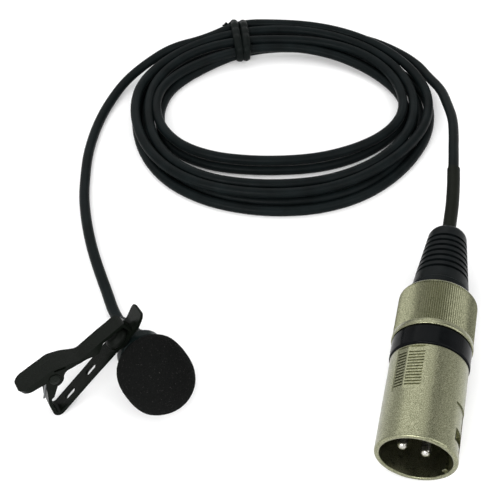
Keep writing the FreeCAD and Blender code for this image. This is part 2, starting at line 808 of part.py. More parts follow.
def make_boot():
    flange_back = nut_end - nut_lip - boot_fit
    flange_front = flange_back - boot_flange_length
    bore = cable_radius + sleeve_clearance + sleeve_wall + boot_bore_gap
    cone_end = tail_start() + 0.4 + clamp_length + clamp_gap
    neck = boot_base_radius - boot_step_height
    profile = [(clamp_radius + clamp_gap, flange_front), (boot_flange_radius, flange_front),
               (boot_flange_radius, flange_back), (boot_base_radius, flange_back),
               (boot_base_radius, boot_step), (neck, boot_step + boot_step_height),
               (boot_shoulder_radius, boot_end), (bore, boot_end), (bore, cone_end),
               (clamp_radius - clamp_taper + clamp_gap, cone_end)]
    boot = turned(profile, [0, 0.3, 0.3, 0, 0.05, 0.05, boot_dome, 0, 0, 0])
    taper = (neck - boot_shoulder_radius) / (boot_end - boot_step)
    grooves = []
    for index in range(boot_grooves):
        middle = boot_groove_first + index * boot_groove_pitch
        low, high = middle - boot_groove_width / 2, middle + boot_groove_width / 2
        local = neck - taper * (middle - boot_step)
        kept = rod(local, low, high, 0, boot_groove_depth)
        kept = kept.common(rod(local, low, high, 0, -boot_groove_depth))
        grooves.append(rod(boot_base_radius + 1, low, high).cut(kept))
    return boot.cut(grooves)


def make_insert():
    rim = shell_bore - insert_fit
    neck = spigot_bore - insert_fit
    profile = [(0, insert_face), (rim, insert_face), (rim, shell_step - insert_fit),
               (neck, shell_step - insert_fit), (neck, insert_end), (0, insert_end)]
    insert = turned(profile, [0, 0.4, 0, 0, 0.3, 0])
    holes = []
    for degrees in contact_clocks():
        spot = clock(contact_circle, degrees, 0)
        holes.append(rod(contact_shank_radius + contact_fit, insert_face - 1, insert_end + 1, spot.x, spot.y))
    slot = radial_block(key_rib_clock, shell_bore - key_rib_height - 0.3, shell_radius, key_rib_width + 0.4,
                        insert_face - 1, insert_face + 1.2)
    return insert.cut(holes + [slot])


def contact_clocks():
    return [contact_clock + 90, contact_clock - 90, contact_clock + 180]


def make_contact(degrees):
    """Round pin with a domed tip, a thicker shank in the insert and a solder cup behind it."""
    cup_end = insert_end + 0.3 + cup_length
    profile = [(0, contact_tip), (contact_radius, contact_tip), (contact_radius, insert_face),
               (contact_shank_radius, insert_face), (contact_shank_radius, insert_end + 0.3),
               (cup_radius, insert_end + 0.3), (cup_radius, cup_end), (0, cup_end)]
    pin = turned(profile, [0, contact_dome, 0, 0, 0, 0.1, 0.1, 0])
    pin = pin.cut(rod(cup_bore, cup_end - cup_length + 0.6, cup_end + 1))
    pin.translate(clock(contact_circle, degrees, 0))
    return pin


def make_core_wires():
    """Three insulated conductors from the cable's end to the solder cups."""
    cup_end = insert_end + 0.3 + cup_length
    wires = []
    for degrees in contact_clocks():
        inner = clock(wire_circle, degrees, cup_end + wire_length)
        middle = clock(wire_circle, degrees, cup_end + wire_length - 0.9)
        outer = clock(contact_circle, degrees, cup_end + 0.3)
        cup = clock(contact_circle, degrees, cup_end - 1.2)
        path = rounded_outline([tuple(cup), tuple(outer), tuple(middle), tuple(inner)],
                               [0, 0.5, 0.5, 0], closed=False)
        wires.append(pipe(path, wire_radius, cup, outer - cup))
    return Part.makeCompound(wires)


def tail_start():
    return insert_end + 0.3 + cup_length + wire_length


def make_cable_tail():
    return rod(cable_radius, tail_start(), tail_end)


def make_cable_clamp():
    """Slotted cone that the back nut squeezes on to the cable."""
    front = tail_start() + 0.4
    back = front + clamp_length
    bore = cable_radius + sleeve_clearance
    profile = [(bore, front), (clamp_radius, front), (clamp_radius, front + clamp_wall),
               (clamp_radius - clamp_taper, back), (bore, back)]
    clamp = turned(profile, [0, 0.3, 0.3, 0.3, 0])
    slots = []
    for index in range(clamp_slots):
        slots.append(radial_block(360 * index / clamp_slots, bore - 0.5, clamp_radius + 1, 0.7,
                                  front + clamp_wall, back + 1))
    return clamp.cut(slots)


# Placing

def mic_placement():
    """Frame of the microphone: Z along its axis, X level."""
    heading = math.radians(mic_heading)
    rise = math.radians(mic_rise)
    axis = Vector(math.cos(rise) * math.cos(heading), math.cos(rise) * math.sin(heading), math.sin(rise))
    level = Vector(-math.sin(heading), math.cos(heading), 0)
    turn = Rotation(level, axis.cross(level), axis, "ZXY")
    base = Vector(0, 0, foam_height) - axis * foam_centre
    return Placement(base, turn), axis


def clip_placement(mic):
    roll = Placement(Vector(0, 0, clip_offset), Rotation(Z_AXIS, clip_roll))
    shift = Placement(Vector(-mic_station, mic_drop, 0), Rotation())
    return mic.multiply(roll).multiply(shift)


def plug_placement():
    """Plug's frame: Z runs back from the mouth along +Y, and Y points down."""
    turn = Rotation(Vector(1, 0, 0), -90)
    return Placement(Vector(plug_offset, mouth_offset, nut_radius), turn)


def placed(shape, placement):
    return shape.transformed(placement.toMatrix(), True)


def build():
    mic, axis = mic_placement()
    clip = clip_placement(mic)
    plug = plug_placement()
    coil_frame = Placement(Vector(coil_centre[0], coil_centre[1], 0), Rotation(Z_AXIS, coil_yaw))

    nodes = {}
    for name, shape in (
            ("lower_jaw", make_lower_jaw()), ("upper_jaw", make_upper_jaw()),
            ("hinge_pin", make_hinge_pin()), ("torsion_spring", make_torsion_spring()),
            ("mic_holder", make_mic_holder()), ("holder_rivet", make_holder_rivet())):
        nodes[name] = placed(shape, clip)
    for name, shape in (
            ("mic_body", make_mic_body()), ("mic_head", make_mic_head()), ("capsule", make_capsule()),
            ("capsule_gasket", make_capsule_gasket()), ("grille_cap", make_grille_cap()),
            ("circuit_board", make_circuit_board()), ("cable_bushing", make_cable_bushing()),
            ("foam_windscreen", make_foam())):
        nodes[name] = placed(shape, mic)
    below = Part.makeBox(80, 80, 20, Vector(-40, -40, -20))
    nodes["foam_windscreen"] = nodes["foam_windscreen"].cut(below)

    box = Part.makeCompound(list(nodes.values())).optimalBoundingBox()
    shift = Vector(-box.Center.x, -box.Center.y, 0)
    print("lowest point of clip and microphone", round(box.ZMin, 3), "shift", shift)

    coil, coil_wire, coil_start, coil_end = make_coil()
    nodes["cable_coil"] = placed(coil, coil_frame)
    nodes["twist_tie"] = placed(make_tie(), coil_frame)
    heading = coil_frame.Rotation.multVec(Vector(1, 0, 0))

    bushing_end = mic.multVec(Vector(0, 0, tube_back - bushing_length))
    coil_start = coil_frame.multVec(coil_start)
    coil_end = coil_frame.multVec(coil_end)
    mic_points = [tuple(bushing_end), tuple(bushing_end - axis * mic_lead_down)]
    mic_points += list(mic_lead_route) + [tuple(coil_start - heading * coil_lead_in), tuple(coil_start)]
    plug_points = [tuple(coil_end), tuple(coil_end + heading * coil_lead_in)]
    plug_points += list(plug_lead_route)
    plug_points.append((plug_offset, mouth_offset + tail_end, nut_radius))
    wires = {}
    for name, points in (("mic_lead", mic_points), ("plug_lead", plug_points)):
        nodes[name], wires[name] = route_pipe(points, cable_radius)
        radii = route_radii(points)[1:-1]
        print(name, "radii", [round(radius) for radius in radii])
        share = nodes[name].Volume / (math.pi * cable_radius ** 2 * wires[name].Length)
        print(name, "length", round(wires[name].Length, 1), "volume over section times length",
              round(share, 4))
        print(name, "first and last points", [[round(c, 3) for c in points[i]] for i in (0, 1, -2, -1)])
    share = nodes["cable_coil"].Volume / (math.pi * cable_radius ** 2 * coil_wire.Length)
    print("coil volume over section times length", round(share, 4))

    sleeve_points = [(plug_offset, mouth_offset + sleeve_start, nut_radius), plug_points[-2],
                     plug_points[-3], sleeve_end_point]
    outer = route_pipe(sleeve_points, cable_radius + sleeve_clearance + sleeve_wall)[0]
    inner = route_pipe(sleeve_points, cable_radius + sleeve_clearance)[0]
    nodes["heat_shrink_sleeve"] = outer.cut(inner)

    for name, shape in (
            ("plug_shell", make_plug_shell()), ("insulating_ring", make_insulating_ring()),
            ("back_nut", make_back_nut()), ("cable_boot", make_boot()), ("contact_insert", make_insert()),
            ("core_wires", make_core_wires()), ("cable_tail", make_cable_tail()),
            ("cable_clamp", make_cable_clamp())):
        nodes[name] = placed(shape, plug)
    for number, degrees in enumerate(contact_clocks(), 1):
        nodes["contact_pin_%d" % number] = placed(make_contact(degrees), plug)

    for shape in nodes.values():
        shape.translate(shift)
    return nodes, shift, mic, clip, axis


def main():
    os.makedirs("parts", exist_ok=True)
    nodes = build()[0]
    for name, shape in nodes.items():
        shape.exportStep("parts/%s.step" % name)
        box = shape.BoundBox
        print("%-20s solids %d valid %s volume %9.2f z %7.2f to %7.2f" % (
            name, len(shape.Solids), shape.isValid(), shape.Volume, box.ZMin, box.ZMax))


main()
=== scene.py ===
import json
import math

import bmesh
import bpy
from mathutils import Matrix, Vector, noise


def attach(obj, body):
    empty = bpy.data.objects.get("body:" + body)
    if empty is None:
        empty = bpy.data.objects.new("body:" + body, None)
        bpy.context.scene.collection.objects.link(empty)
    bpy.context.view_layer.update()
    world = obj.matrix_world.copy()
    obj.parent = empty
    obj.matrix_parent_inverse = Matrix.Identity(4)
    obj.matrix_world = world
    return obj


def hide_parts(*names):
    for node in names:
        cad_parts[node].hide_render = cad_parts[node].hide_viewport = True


# Lavalier microphone with its clip, foam windscreen, tied coil of cable and plug.
# Everything is in metres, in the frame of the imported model.

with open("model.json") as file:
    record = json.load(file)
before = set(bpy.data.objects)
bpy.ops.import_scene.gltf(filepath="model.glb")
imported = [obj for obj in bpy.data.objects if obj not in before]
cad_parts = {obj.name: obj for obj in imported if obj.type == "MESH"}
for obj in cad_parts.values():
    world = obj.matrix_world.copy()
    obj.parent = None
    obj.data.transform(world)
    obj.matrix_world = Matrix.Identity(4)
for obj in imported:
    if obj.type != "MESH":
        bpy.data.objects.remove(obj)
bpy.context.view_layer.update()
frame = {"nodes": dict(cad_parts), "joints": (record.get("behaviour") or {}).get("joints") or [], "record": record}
MM = 0.001
UP = Vector((0, 0, 1))
# The foam and the tie stop this far above the table, and the floor lies as far below it.
FLOOR_GAP = 0.05 * MM


def joint(name):
    return next(entry for entry in frame["joints"] if entry["name"] == name)


# The microphone's own frame, and the foam's centre dropped to the table. The routes
# of the cable, the coil and the camera are all given from that point.
MIC_ORIGIN = Vector(joint("mic_turn")["pos_m"])
MIC_AXIS = Vector(joint("mic_turn")["axis"]).normalized()
FOAM_STATION = 11.85 * MM
FOAM_CENTRE = MIC_ORIGIN + MIC_AXIS * FOAM_STATION
TABLE_POINT = Vector((FOAM_CENTRE.x, FOAM_CENTRE.y, 0))


def on_table(x, y, z=0.0):
    """Point in metres from millimetres counted from the foam's centre on the table."""
    return TABLE_POINT + Vector((x, y, z)) * MM


# Camera

VIEW_YAW = 13.9
VIEW_DEPRESSION = 48.6
VIEW_LENS = 67.2
VIEW_SPOT = (52.48, -117.69, 199.1)


def add_camera():
    """Camera at the photograph's viewing angle."""
    data = bpy.data.cameras.new("photo_view")
    data.lens = VIEW_LENS
    data.sensor_width = 36
    camera = bpy.data.objects.new("photo_view", data)
    bpy.context.scene.collection.objects.link(camera)
    bpy.context.scene.camera = camera
    camera.location = on_table(*VIEW_SPOT)
    camera.rotation_euler = (math.radians(90 - VIEW_DEPRESSION), 0, math.radians(VIEW_YAW))


# Cable: the route follows that of the CAD source, in millimetres, and its turns and free stretches
# are eased by a few millimetres to where the photograph has them. The jacket is a little thicker
# than the solids' cable, as it looks in the photograph. The cable's length is in metres.

CABLE_RADIUS = 1.45
JACKET_RADIUS = 1.53
COIL_CENTRE = (6.5, 109.9)
COIL_YAW = 13.9
COIL_TURNS = 6
COIL_SIDE_REACH = 47.9
COIL_BACK_REACH = 43.5
COIL_MIDDLE = 4.0
COIL_PITCH = 3.4
COIL_BACK_PITCH = 3.8
COIL_LAYER_RISE = 3.4
COIL_FRONT_REACH = (39.0, 35.2, 24.0, 25.2, 39.2, 42.6)
COIL_FRONT_LAYER = (1, 1, 1, 0, 0, 0)
COIL_BACK_LIFT = 1.65
COIL_LEAD_IN = 11.0
# How far each turn lies outside its round shape at each side of the coil, as in the photograph.
COIL_BULGE = {
    "back": (-0.5, 0, -2, 0, -2, 0.5, 0),
    "back right": (0, 0, 0, 0, 0, 0),
    "right": (0.5, -1, -1, 2, 3, 3),
    "front right": (-2, -1, -0.5, 0, 1, 0.5),
    "front": (-0.5, -0.5, 0.5, 0, -0.5, 0),
    "front left": (3, 3.5, 4, 3.5, 2, 2),
    "left": (1.5, 0.5, 1.5, -1.5, 0, -0.5),
    "back left": (0, 0.5, -1, -4.5, -1, 0)}
STEPS_PER_QUARTER = 6
BUSHING_END = -13.0
MIC_LEAD_DOWN = 4.5
MIC_LEAD_ROUTE = (
    (-23.2, 27.0, 1.45), (-27.4, 33.0, 1.45), (-31.5, 39.1, 1.45), (-35.4, 45.7, 1.45),
    (-39.1, 52.8, 1.45), (-42.5, 60.5, 1.45), (-45.1, 68.6, 1.45), (-47.5, 77.0, 1.45),
    (-49.0, 86.0, 1.45), (-49.7, 95.0, 1.5), (-49.2, 104.0, 1.9), (-47.4, 113.3, 2.8),
    (-43.2, 121.7, 4.1), (-36.7, 131.1, 5.5), (-26.6, 137.4, 6.1))
PLUG_LEAD_ROUTE = (
    (20.2, 155.1, 3.1), (29.6, 154.9, 2.6), (39.8, 150.1, 2.7), (46.6, 144.1, 3.3),
    (50.3, 137.6, 4.3), (55.2, 130.2, 5.8), (57.8, 121.8, 7.2), (60.2, 113.4, 8.5),
    (61.2, 105.4, 9.2), (61.8, 97.7, 9.8), (62.5, 90.5, 10.1), (62.9, 82.5, 10.1),
    (63.78, 74.0, 10.1), (63.78, 65.02, 10.1))

COIL_FRAME = (Matrix.Translation(on_table(*COIL_CENTRE))
              @ Matrix.Rotation(math.radians(COIL_YAW), 4, "Z") @ Matrix.Scale(MM, 4))


def coil_knot(quarter):
    """Point of the round coil after so many quarter turns, in the coil's own frame."""
    turn = quarter / 4
    lane = min(turn, COIL_TURNS - turn)
    layer = 0.5
    if turn < COIL_TURNS / 2:
        layer = 1.0
    elif turn > COIL_TURNS / 2:
        layer = 0.0
    side = quarter % 4
    height = CABLE_RADIUS + layer * COIL_LAYER_RISE
    if side == 0:
        return Vector((0, COIL_BACK_REACH - lane * COIL_BACK_PITCH, height + COIL_BACK_LIFT))
    if side == 2:
        row = quarter // 4
        height = CABLE_RADIUS + COIL_FRONT_LAYER[row] * COIL_LAYER_RISE
        return Vector((0, -COIL_FRONT_REACH[row], height))
    reach = COIL_SIDE_REACH - lane * COIL_PITCH
    return Vector((reach if side == 1 else -reach, COIL_MIDDLE, height))


def bulge(eighth):
    """How far the coil bulges after so many eighths of a turn."""
    sides = list(COIL_BULGE.values())
    return sides[eighth % len(sides)][eighth // len(sides)]


def eased(spot, eighths):
    """The spot, moved out from the coil's middle by the bulge after so many eighths of a turn."""
    whole = int(eighths)
    share = eighths - whole
    share *= share * (3 - 2 * share)
    ease = bulge(whole) + (bulge(whole + 1) - bulge(whole)) * share
    return spot * (1 + ease / spot.length)


def coil_points():
    """Control points of the coil's turns, let out so that the spline has the turns' size."""
    middle = Vector((0, COIL_MIDDLE, 0))
    half_step = math.pi / 4 / STEPS_PER_QUARTER
    points = []
    for quarter in range(4 * COIL_TURNS):
        here, there = coil_knot(quarter), coil_knot(quarter + 1)
        for step in range(STEPS_PER_QUARTER):
            share = step / STEPS_PER_QUARTER
            angle = share * math.pi / 2
            spot = (here - middle) * math.cos(angle) + (there - middle) * math.sin(angle)
            spot.z = 0
            spot = middle + eased(spot, 2 * (quarter + share)) / math.cos(half_step)
            spot.z = here.z + (there.z - here.z) * share * share * (3 - 2 * share)
            points.append(COIL_FRAME @ spot)
    last = coil_knot(4 * COIL_TURNS)
    last.y += bulge(8 * COIL_TURNS)
    return points + [COIL_FRAME @ last]


def make_cable():
    """The cable from the microphone to the plug, and the point where it leaves the microphone."""
    start = MIC_ORIGIN + MIC_AXIS * BUSHING_END * MM
    turns = coil_points()
    heading = (COIL_FRAME @ Vector((1, 0, 0)) - COIL_FRAME @ Vector()) / MM
    lead_in = heading * (COIL_LEAD_IN + 2 * CABLE_RADIUS) * MM
    points = [start, start - MIC_AXIS * MIC_LEAD_DOWN * MM]
    points += [on_table(*point) for point in MIC_LEAD_ROUTE]
    points += [turns[0] - lead_in, *turns, turns[-1] + lead_in]
    points += [on_table(*point) for point in PLUG_LEAD_ROUTE]
    curve = bpy.data.curves.new("cable", "CURVE")
    curve.dimensions = "3D"
    curve.resolution_u = 6
    curve.bevel_depth = JACKET_RADIUS * MM
    curve.bevel_resolution = 5
    curve.use_fill_caps = True
    spline = curve.splines.new("NURBS")
    spline.points.add(len(points) - 1)
    lift = UP * (JACKET_RADIUS - CABLE_RADIUS) * MM
    for control, point in zip(spline.points, points):
        control.co = (*(point + lift), 1)
    spline.order_u = 3
    spline.use_endpoint_u = True
    cable = bpy.data.objects.new("cable", curve)
    bpy.context.scene.collection.objects.link(cable)
    return cable, start


# Meshes

def add_mesh(name, build, smooth=True):
    """New object from a function that fills a bmesh."""
    data = bpy.data.meshes.new(name)
    work = bmesh.new()
    build(work)
    bmesh.ops.recalc_face_normals(work, faces=work.faces)
    work.to_mesh(data)
    work.free()
    for polygon in data.polygons:
        polygon.use_smooth = smooth
    piece = bpy.data.objects.new(name, data)
    bpy.context.scene.collection.objects.link(piece)
    return piece


def skin_rings(work, rings, closed=False):
    """Quads between successive rings of points, and caps at the ends where it is open."""
    loops = [[work.verts.new(point) for point in ring] for ring in rings]
    pairs = list(zip(loops, loops[1:]))
    if closed:
        pairs.append((loops[-1], loops[0]))
    for one, two in pairs:
        count = len(one)
        for index in range(count):
            follow = (index + 1) % count
            work.faces.new((one[index], one[follow], two[follow], two[index]))
    if not closed:
        work.faces.new(loops[0][::-1])
        work.faces.new(loops[-1])


# Foam windscreen: a ball with a bore, its skin broken by fine open cells, with broad swells and fuzz
# under them. Millimetres, and stations along the microphone's axis. The ball is pressed flatter on
# both sides along SQUEEZED and is fuller towards FULL, which are directions in the model's frame.

FOAM_RADIUS = 9.75
FOAM_MOUTH = 3.75
FOAM_BORE = 4.1
FOAM_DEPTH = 13.4
FOAM_ROWS = 260
FOAM_COLUMNS = 420
CELL_SIZE = 0.55
CELL_REACH = 0.42
CELL_DEPTH = 0.16
SWELL_PITCH = 0.11
SWELL = 0.35
SWELL_LIMIT = 0.1
FUZZ_PITCH = 3.1
FUZZ = 0.07
FUZZ_LIMIT = 0.05
SQUEEZED = Vector((0.660, 0.634, 0.4025))
SQUEEZE = 0.95
FULL = Vector((0.762, -0.403, -0.506))
FULLNESS = 0.4


def mic_frame():
    """From the microphone's own frame, with its axis as Z, to the model's frame."""
    level = Vector((-MIC_AXIS.y, MIC_AXIS.x, 0)).normalized()
    side = MIC_AXIS.cross(level)
    turn = Matrix((level, side, MIC_AXIS)).transposed().to_4x4()
    return Matrix.Translation(MIC_ORIGIN) @ turn


def foam_rows():
    """Radius and station of each ring, counted from the ball's centre, and how rough it is."""
    centre = FOAM_STATION / MM
    bottom, mouth = FOAM_DEPTH - centre, FOAM_MOUTH - centre
    rows = [(FOAM_BORE * 0.2, bottom, 0.0), (FOAM_BORE, bottom, 0.0)]
    for share in (0.9, 0.75, 0.6, 0.45, 0.3, 0.15):
        rows.append((FOAM_BORE, FOAM_MOUTH + (FOAM_DEPTH - FOAM_MOUTH) * share - centre, 0.0))
    rows.append((FOAM_BORE, mouth + 0.25, 0.2))
    rows.append((FOAM_BORE + 0.25, mouth, 0.4))
    rows.append((FOAM_BORE + 1.5, mouth, 0.8))
    start = math.acos(mouth / FOAM_RADIUS)
    for row in range(FOAM_ROWS + 1):
        angle = start * (1 - row / FOAM_ROWS) + 0.004
        rows.append((FOAM_RADIUS * math.sin(angle), FOAM_RADIUS * math.cos(angle), 1.0))
    return rows


def foam_shape(way):
    """How far the ball stands out of round that way: two sides pressed flatter, one fuller."""
    return FULLNESS * max(0.0, way.dot(FULL)) ** 4 - SQUEEZE * abs(way.dot(SQUEEZED)) ** 6


def foam_cell(spot):
    """How far the skin stands out of the ball at the spot, pitted by the open cells."""
    swell = noise.noise(spot * SWELL_PITCH) * SWELL
    pit = max(0.0, CELL_REACH - noise.voronoi(spot / CELL_SIZE)[0][0]) / CELL_REACH
    fuzz = noise.noise(spot * FUZZ_PITCH) * FUZZ
    return min(swell, SWELL_LIMIT) - CELL_DEPTH * pit + min(fuzz, FUZZ_LIMIT) - FUZZ_LIMIT


def make_foam():
    place = mic_frame()
    turn = place.to_3x3()

    def build(work):
        rings = []
        for radius, station, rough in foam_rows():
            ring = []
            for column in range(FOAM_COLUMNS):
                angle = 2 * math.pi * column / FOAM_COLUMNS
                spot = Vector((radius * math.cos(angle), radius * math.sin(angle), station))
                if rough:
                    relief = foam_cell(spot) + foam_shape((turn @ spot).normalized())
                    spot *= 1 + rough * relief / FOAM_RADIUS
                spot.z += FOAM_STATION / MM
                point = place @ (spot * MM)
                point.z = max(point.z, FLOOR_GAP)
                ring.append(point)
            rings.append(ring)
        skin_rings(work, rings)

    return add_mesh("foam_ball", build)


# Tie round the back of the coil: two soft wraps side by side and a short twisted end. Millimetres in
# the coil's own frame. Each wrap leans to the left towards the back.

TIE_STATIONS = (-14.45, -12.1)
TIE_LEANS = (-1.4, -0.4)
TIE_PHASES = (0.1, 0.6)
TIE_WIDTH = 2.9
TIE_PROUD = 1.3
TIE_PRESSED = 0.5
TIE_WAVE = 0.12
TIE_TURN = 3.5
TIE_PIVOT = 43.5
TIE_OUTER = 43.8
TIE_INNER = 28.4
TIE_LOW = 1.3
TIE_HIGH = 8.1
TIE_SQUARENESS = 3.2
TIE_SINK = 0.14
TIE_BELLY = 0.8
TIE_STEPS = 96
TIE_SECTION = 16
TWIST_START = Vector((TIE_STATIONS[0] - 2.0, TIE_OUTER - 1.4, 6.7))
TWIST_HEADING = Vector((-1, -0.3, 0.2)).normalized()
TWIST_LENGTH = 3.4
TWIST_SPREAD = 0.5
TWIST_RADIUS = 0.8
TWIST_STEPS = 20
TWIST_SECTION = 12


def tie_frame():
    """From the tie's own millimetres, with its turn, to the model's frame."""
    pivot = Vector((TIE_STATIONS[1], TIE_PIVOT, 0))
    turn = Matrix.Rotation(math.radians(TIE_TURN), 4, "Z")
    return COIL_FRAME @ Matrix.Translation(pivot) @ turn @ Matrix.Translation(-pivot)


def tie_loop():
    """Rounded path round the strands, in depth and height, that sinks a little between them."""
    middle = Vector(((TIE_INNER + TIE_OUTER) / 2, (TIE_LOW + TIE_HIGH) / 2))
    reach = Vector(((TIE_OUTER - TIE_INNER) / 2, (TIE_HIGH - TIE_LOW) / 2))
    points = []
    for index in range(TIE_STEPS):
        angle = 2 * math.pi * index / TIE_STEPS
        c, s = math.cos(angle), math.sin(angle)
        size = (abs(c) ** TIE_SQUARENESS + abs(s) ** TIE_SQUARENESS) ** (-1 / TIE_SQUARENESS)
        sunk = 0.0
        if s > 0:
            sunk = TIE_SINK * math.cos(2 * math.pi * c * size * reach.x / COIL_BACK_PITCH)
        drop = TIE_BELLY * max(0.0, -c) ** 3
        points.append(middle + Vector((reach.x * c * size, reach.y * s * size + (sunk - drop) * s)))
    return points


def wrap_rings(station, lean, phase):
    """Sections of one wrap: rounded on the outside, pressed flatter on the strands."""
    path = tie_loop()
    rings = []
    for index, point in enumerate(path):
        before, after = path[index - 1], path[(index + 1) % len(path)]
        along = (after - before).normalized()
        out = Vector((along.y, -along.x))
        wave = math.sin(2 * math.pi * (2 * index / len(path) + phase))
        ring = []
        for corner in range(TIE_SECTION):
            angle = 2 * math.pi * corner / TIE_SECTION
            across = TIE_WIDTH / 2 * math.cos(angle)
            proud = (TIE_PROUD if angle < math.pi else TIE_PRESSED) * math.sin(angle)
            flat = point + out * proud * (1 + 0.08 * wave)
            drift = lean * (flat.x - TIE_INNER) / (TIE_OUTER - TIE_INNER) + TIE_WAVE * wave
            ring.append(Vector((station + across + drift, flat.x, max(flat.y, FLOOR_GAP / MM))))
        rings.append(ring)
    return rings


def twist_rings(phase):
    """Sections of one strand of the twisted end, which narrows to a blunt tip."""
    side = TWIST_HEADING.cross(UP).normalized()
    rise = side.cross(TWIST_HEADING)
    rings = []
    for index in range(TWIST_STEPS + 1):
        share = index / TWIST_STEPS
        turn = phase + share * 2 * math.pi
        spread = TWIST_SPREAD * (1 - 0.3 * share)
        middle = TWIST_START + TWIST_HEADING * TWIST_LENGTH * share
        middle += (side * math.cos(turn) + rise * math.sin(turn)) * spread
        size = TWIST_RADIUS * min(1.0, 1.6 * math.sqrt(1.02 - share))
        ring = []
        for corner in range(TWIST_SECTION):
            angle = 2 * math.pi * corner / TWIST_SECTION
            ring.append(middle + (side * math.cos(angle) + rise * math.sin(angle)) * size)
        rings.append(ring)
    return rings


def make_tie():
    place = tie_frame()

    def placed(rings):
        return [[place @ point for point in ring] for ring in rings]

    def build(work):
        for station, lean, phase in zip(TIE_STATIONS, TIE_LEANS, TIE_PHASES):
            skin_rings(work, placed(wrap_rings(station, lean, phase)), closed=True)
        for phase in (0, math.pi):
            skin_rings(work, placed(twist_rings(phase)))

    return add_mesh("cable_tie", build)


# Materials

class Surface:
    """One procedural material on a principled shader. Sizes and heights are in millimetres."""

    def __init__(self, name, **sockets):
        self.material = bpy.data.materials.new(name)
        self.material.use_nodes = True
        self.tree = self.material.node_tree
        self.shader = self.tree.nodes["Principled BSDF"]
        for socket, value in sockets.items():
            self.shader.inputs[socket.replace("_", " ")].default_value = value
        self.place = self.tree.nodes.new("ShaderNodeTexCoord").outputs["Object"]

    def node(self, kind, **inputs):
        """New node, its inputs set to a value or linked to another node's output."""
        made = self.tree.nodes.new("ShaderNode" + kind)
        for key, value in inputs.items():
            socket = made.inputs[key.replace("_", " ")]
            if isinstance(value, bpy.types.NodeSocket):
                self.tree.links.new(value, socket)
            else:
                socket.default_value = value
        return made

    def grain(self, size, detail=2.0):
        """Noise with features of that size."""
        return self.node("TexNoise", Vector=self.place, Scale=1 / (size * MM), Detail=detail).outputs[0]

    def cells(self, size):
        """Distance from the middle of cells of that size."""
        return self.node("TexVoronoi", Vector=self.place, Scale=1 / (size * MM)).outputs["Distance"]

    def ramp(self, value, low, high, dark=0, bright=1):
        """The value, spread from low and high to dark and bright, and held there."""
        scale = self.node("MapRange", Value=value)
        scale.inputs["From Min"].default_value = low
        scale.inputs["From Max"].default_value = high
        scale.inputs["To Min"].default_value = dark
        scale.inputs["To Max"].default_value = bright
        return scale.outputs["Result"]

    def tint(self, value, one, two):
        """Base colour from one to two, as the value goes from 0 to 1."""
        mix = self.node("Mix")
        mix.data_type = "RGBA"
        self.tree.links.new(value, mix.inputs["Factor"])
        for socket in mix.inputs:
            if socket.type == "RGBA":
                socket.default_value = (*(one if socket.name == "A" else two), 1)
        colour = next(socket for socket in mix.outputs if socket.type == "RGBA")
        self.tree.links.new(colour, self.shader.inputs["Base Color"])

    def rough(self, size, low, high):
        """Roughness from low to high, in patches of that size."""
        level = self.ramp(self.grain(size), 0.3, 0.7, low, high)
        self.tree.links.new(level, self.shader.inputs["Roughness"])

    def bump(self, value, height):
        """Relief of that height."""
        made = self.node("Bump", Height=value, Distance=height * MM, Strength=1.0)
        last = self.shader.inputs["Normal"]
        if last.is_linked:
            self.tree.links.new(last.links[0].from_socket, made.inputs["Normal"])
        self.tree.links.new(made.outputs["Normal"], last)


def shades(colour, dark, bright):
    """The colour at two strengths."""
    return [c * dark for c in colour], [c * bright for c in colour]


def enamel(name, colour, roughness=0.24):
    surface = Surface(name, Specular_IOR_Level=0.05)
    surface.tint(surface.ramp(surface.grain(1.6), 0.3, 0.7), *shades(colour, 0.9, 1.12))
    surface.rough(3.0, roughness - 0.03, roughness + 0.04)
    surface.bump(surface.grain(1.5), 0.002)
    return surface.material


def moulded(name, colour, roughness, relief=0.01, size=0.25, shine=0.045):
    surface = Surface(name, Specular_IOR_Level=shine)
    surface.tint(surface.ramp(surface.grain(2.2), 0.3, 0.7), *shades(colour, 0.8, 1.25))
    surface.rough(1.1, roughness - 0.05, roughness + 0.08)
    surface.bump(surface.grain(size), relief)
    return surface.material


def metal(name, colour, roughness, relief):
    surface = Surface(name, Metallic=1.0)
    surface.tint(surface.ramp(surface.grain(4.0), 0.3, 0.7), *shades(colour, 0.93, 1.05))
    surface.rough(1.2, roughness - 0.05, roughness + 0.06)
    surface.bump(surface.grain(0.28, 3.0), relief)
    return surface.material


def satin_nickel(name):
    """Plated casting: warm grey, with a fine speckle of painted glints in its colour."""
    surface = Surface(name, Metallic=1.0)
    # Painted glints: the bright specks in the colour stand for light sparkling off the grain.
    painted_glints = surface.ramp(surface.grain(0.2, 4.0), 0.36, 0.68)
    surface.tint(painted_glints, (0.1, 0.104, 0.06), (0.335, 0.335, 0.228))
    surface.rough(1.3, 0.27, 0.36)
    surface.bump(surface.grain(0.24), 0.01)
    return surface.material


def cable_jacket(name):
    surface = Surface(name, Specular_IOR_Level=0.048)
    cloud = surface.ramp(surface.grain(6.0), 0.35, 0.65)
    surface.tint(cloud, (0.003, 0.0044, 0.0046), (0.0046, 0.007, 0.0074))
    surface.rough(1.5, 0.36, 0.5)
    surface.bump(surface.grain(0.3), 0.012)
    return surface.material


def open_foam(name):
    """Open cells: nearly black, with painted highlights where a few cell walls catch the light."""
    surface = Surface(name, Roughness=0.95, Specular_IOR_Level=0.03)
    # Painted highlights: the pale flecks in the colour stand for cell walls catching the light.
    painted_fleck_highlights = surface.ramp(surface.grain(0.3, 3.0), 0.66, 0.74)
    surface.tint(painted_fleck_highlights, (0.0048, 0.0051, 0.0049), (0.06, 0.055, 0.055))
    surface.bump(surface.cells(0.42), 0.12)
    surface.bump(surface.grain(0.14, 3.0), 0.04)
    return surface.material


def speckled_insulator(name):
    surface = Surface(name, Roughness=0.5, Specular_IOR_Level=0.1)
    speck = surface.ramp(surface.grain(0.34, 3.0), 0.48, 0.66)
    surface.tint(speck, (0.05, 0.047, 0.037), (0.26, 0.255, 0.22))
    surface.bump(surface.grain(0.34), 0.04)
    return surface.material


